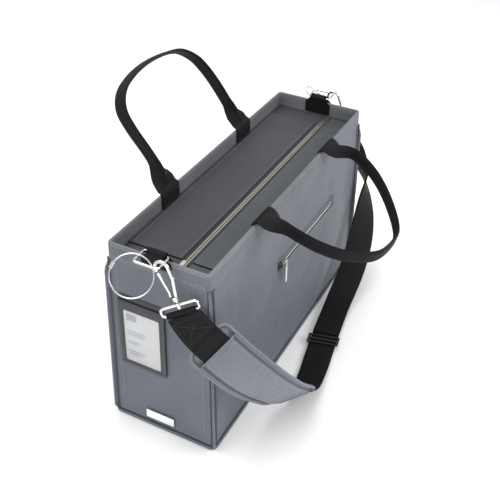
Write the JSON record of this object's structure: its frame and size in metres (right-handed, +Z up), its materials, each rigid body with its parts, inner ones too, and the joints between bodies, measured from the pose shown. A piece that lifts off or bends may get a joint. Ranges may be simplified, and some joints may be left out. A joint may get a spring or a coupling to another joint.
{
  "type": "mail sack",
  "caption": "Boarded fabric mail sack with a zipped inset closure, webbing handles, a padded shoulder strap on snap hooks, a zipped front pocket, an ID pocket and cable key rings.",
  "frame": {"origin": "middle of the base, on the surface the bag stands on", "axes": "+X along the bag's length away from the ID pocket, -Y out of the front pocket, +Z up"},
  "size_m": [0.556, 0.3588, 0.417],
  "materials": {
    "shell fabric": "matte",
    "lining fabric": "matte",
    "stiffening board": "matte",
    "zip tape": "matte",
    "zip metal": "brushed",
    "webbing": "matte",
    "bright hardware": "polished",
    "cable": "brushed",
    "dark buckle": "satin",
    "pad fabric": "matte",
    "pocket vinyl": "matte",
    "clear window": "clear",
    "card": "matte",
    "label": "matte"
  },
  "bodies": {
    "bag": {"bottom_panel": "shell fabric", "base_board": "stiffening board", "base_piping": "shell fabric", "front_panel": "shell fabric", "back_panel": "shell fabric", "left_end_panel": "shell fabric", "right_end_panel": "shell fabric", "front_board": "stiffening board", "back_board": "stiffening board", "corner_piping": "shell fabric", "front_rim_hem": "shell fabric", "back_rim_hem": "shell fabric", "left_rim_hem": "shell fabric", "right_rim_hem": "shell fabric", "front_ledge": "lining fabric", "back_ledge": "lining fabric", "zip_tail_tapes": "zip tape", "zip_tail_teeth": "zip metal", "pocket_pouch": "lining fabric", "pocket_zip_tape": "zip tape", "pocket_zip_teeth": "zip metal", "front_handle_anchors": "webbing", "back_handle_anchors": "webbing", "left_ring_tab": "webbing", "right_ring_tab": "webbing", "holder_back": "pocket vinyl", "holder_frame": "pocket vinyl", "holder_window": "clear window", "label_plate": "label"},
    "front_flap": {"front_flap": "shell fabric", "front_zip_tape": "zip tape", "front_zip_teeth": "zip metal"},
    "back_flap": {"back_flap": "lining fabric", "back_zip_tape": "zip tape", "back_zip_teeth": "zip metal"},
    "zip_slider": {"zip_slider": "zip metal"},
    "zip_pull": {"zip_pull": "zip metal"},
    "pocket_slider": {"pocket_slider": "zip metal"},
    "pocket_pull": {"pocket_pull": "zip metal"},
    "front_handle": {"front_handle": "webbing"},
    "back_handle": {"back_handle": "webbing"},
    "left_d_ring": {"left_d_ring": "bright hardware"},
    "right_d_ring": {"right_d_ring": "bright hardware"},
    "left_cable_ring": {"left_cable_ring": "cable"},
    "right_cable_ring": {"right_cable_ring": "cable"},
    "left_ring_barrel": {"left_ring_barrel": "bright hardware"},
    "right_ring_barrel": {"right_ring_barrel": "bright hardware"},
    "strap": {"strap_webbing": "webbing", "strap_return": "webbing", "shoulder_pad": "pad fabric", "pad_cover": "pad fabric", "tri_glide": "dark buckle", "left_strap_loop": "bright hardware", "right_strap_loop": "bright hardware"},
    "left_hook": {"left_hook": "bright hardware"},
    "right_hook": {"right_hook": "bright hardware"},
    "left_gate": {"left_gate": "bright hardware"},
    "right_gate": {"right_gate": "bright hardware"},
    "id_card": {"id_card": "card"}
  },
  "joints": [
    {"name": "back_handle_swing", "type": "hinge", "parent": "bag", "child": "back_handle", "pos_m": [0, 0.0685, 0.284], "axis": [-1, 0, 0], "range_deg": [-99, 113]},
    {"name": "front_handle_swing", "type": "hinge", "parent": "bag", "child": "front_handle", "pos_m": [0, -0.0685, 0.284], "axis": [-1, 0, 0], "range_deg": [-35, 130]},
    {"name": "back_flap_lift", "type": "hinge", "parent": "bag", "child": "back_flap", "pos_m": [0, 0.06013, 0.259], "axis": [-1, 0, 0], "range_deg": [0, 80]},
    {"name": "front_flap_lift", "type": "hinge", "parent": "bag", "child": "front_flap", "pos_m": [0, -0.06013, 0.259], "axis": [1, 0, 0], "range_deg": [0, 80]},
    {"name": "zip_slider_slide", "type": "slide", "parent": "bag", "child": "zip_slider", "axis": [1, 0, 0], "range_m": [0, 0.418]},
    {"name": "zip_pull_flip", "type": "hinge", "parent": "zip_slider", "child": "zip_pull", "pos_m": [-0.2181, -0.018, 0.26185], "axis": [0, -1, 0], "range_deg": [0, 100]},
    {"name": "pocket_slider_slide", "type": "slide", "parent": "bag", "child": "pocket_slider", "axis": [1, 0, 0], "range_m": [0, 0.169]},
    {"name": "pocket_pull_flip", "type": "hinge", "parent": "pocket_slider", "child": "pocket_pull", "pos_m": [-0.038, -0.07606, 0.17012], "axis": [-1, 0, 0], "range_deg": [0, 160]},
    {"name": "left_d_ring_tilt", "type": "hinge", "parent": "bag", "child": "left_d_ring", "pos_m": [-0.2295, 0, 0.2855], "axis": [0, 1, 0], "range_deg": [-7, 7]},
    {"name": "right_d_ring_tilt", "type": "hinge", "parent": "bag", "child": "right_d_ring", "pos_m": [0.2295, 0, 0.2855], "axis": [0, -1, 0], "range_deg": [-7, 7]},
    {"name": "left_cable_ring_swing", "type": "hinge", "parent": "left_d_ring", "child": "left_cable_ring", "pos_m": [-0.2415, 0.016, 0.2855], "axis": [1, 0, 0], "range_deg": [0, 35]},
    {"name": "right_cable_ring_swing", "type": "hinge", "parent": "right_d_ring", "child": "right_cable_ring", "pos_m": [0.2415, 0.016, 0.2855], "axis": [1, 0, 0], "range_deg": [0, 35]},
    {"name": "left_barrel_turn", "type": "hinge", "parent": "left_cable_ring", "child": "left_ring_barrel", "pos_m": [-0.26337, 0.03713, 0.2789], "axis": [-0.6723, 0.1945, -0.7143], "continuous": true},
    {"name": "right_barrel_turn", "type": "hinge", "parent": "right_cable_ring", "child": "right_ring_barrel", "pos_m": [0.26337, 0.03713, 0.2789], "axis": [0.6723, 0.1945, -0.7143], "continuous": true},
    {"name": "strap_swing", "type": "hinge", "parent": "bag", "child": "strap", "pos_m": [0, -0.016, 0.2855], "axis": [-1, 0, 0], "range_deg": [0, 200]},
    {"name": "left_hook_swivel", "type": "hinge", "parent": "strap", "child": "left_hook", "pos_m": [-0.247, -0.016, 0.2855], "axis": [0, -0.4067, -0.9135], "range_deg": [-15, 15]},
    {"name": "right_hook_swivel", "type": "hinge", "parent": "strap", "child": "right_hook", "pos_m": [0.247, -0.016, 0.2855], "axis": [0, -0.4067, -0.9135], "range_deg": [-15, 15]},
    {"name": "left_gate_open", "type": "hinge", "parent": "left_hook", "child": "left_gate", "pos_m": [-0.247, -0.02745, 0.24922], "axis": [1, 0, 0], "range_deg": [0, 18], "stiffness_Nm_per_rad": 0.02},
    {"name": "right_gate_open", "type": "hinge", "parent": "right_hook", "child": "right_gate", "pos_m": [0.247, -0.02745, 0.24922], "axis": [1, 0, 0], "range_deg": [0, 18], "stiffness_Nm_per_rad": 0.02},
    {"name": "id_card_slide", "type": "slide", "parent": "bag", "child": "id_card", "axis": [0.0125, 0, 0.9999], "range_m": [0, 0.075]}
  ]
}
